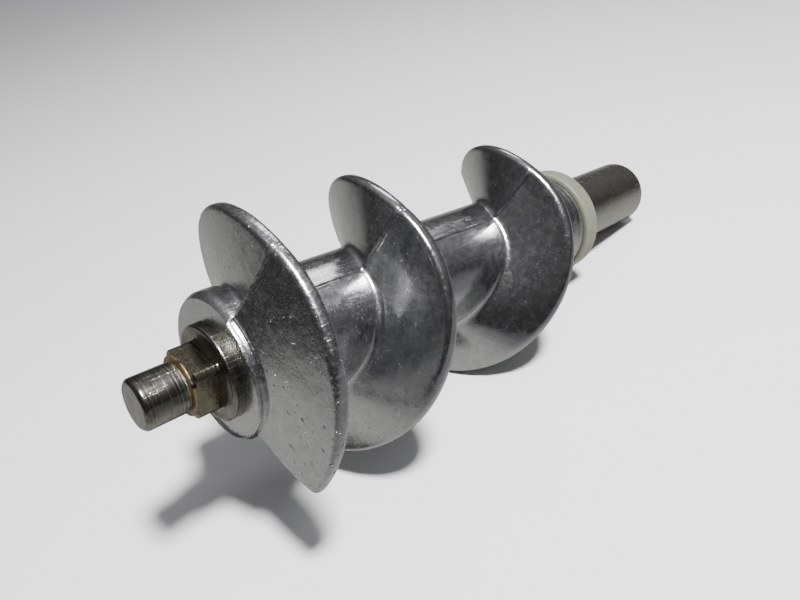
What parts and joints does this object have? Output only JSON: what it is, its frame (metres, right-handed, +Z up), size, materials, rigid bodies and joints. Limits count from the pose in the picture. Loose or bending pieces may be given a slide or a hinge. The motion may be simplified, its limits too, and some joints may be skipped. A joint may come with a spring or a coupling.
{
  "type": "meat grinder feed screw",
  "caption": "Left-hand feed screw of a hand crank meat grinder: cast worm on a steel shaft with knife square, plate pin and crank shank, and a loose nylon thrust washer.",
  "frame": {"origin": "on the screw's axis, halfway between the pin's end and the shank's end, which is the centre of the bounding box", "axes": "+X along the axis, from the knife end to the crank end; +Z up as the screw lies on a table; the helix is left-handed"},
  "size_m": [0.135, 0.0472, 0.047],
  "materials": {
    "cast_aluminium": "die-cast and tumbled bright, with fine scratches and pits",
    "turned_steel": "turned, grey-brown, with fine turning rings and light rust",
    "nylon": "natural nylon, milky and slightly yellow-green"
  },
  "bodies": {
    "screw": {"worm_casting": "cast_aluminium", "drive_shaft": "turned_steel"},
    "washer": {"thrust_washer": "nylon"}
  },
  "joints": [
    {"name": "washer_spin", "type": "hinge", "parent": "screw", "child": "washer", "pos_m": [0.0342, 0, 0], "axis": [1, 0, 0], "continuous": true}
  ]
}
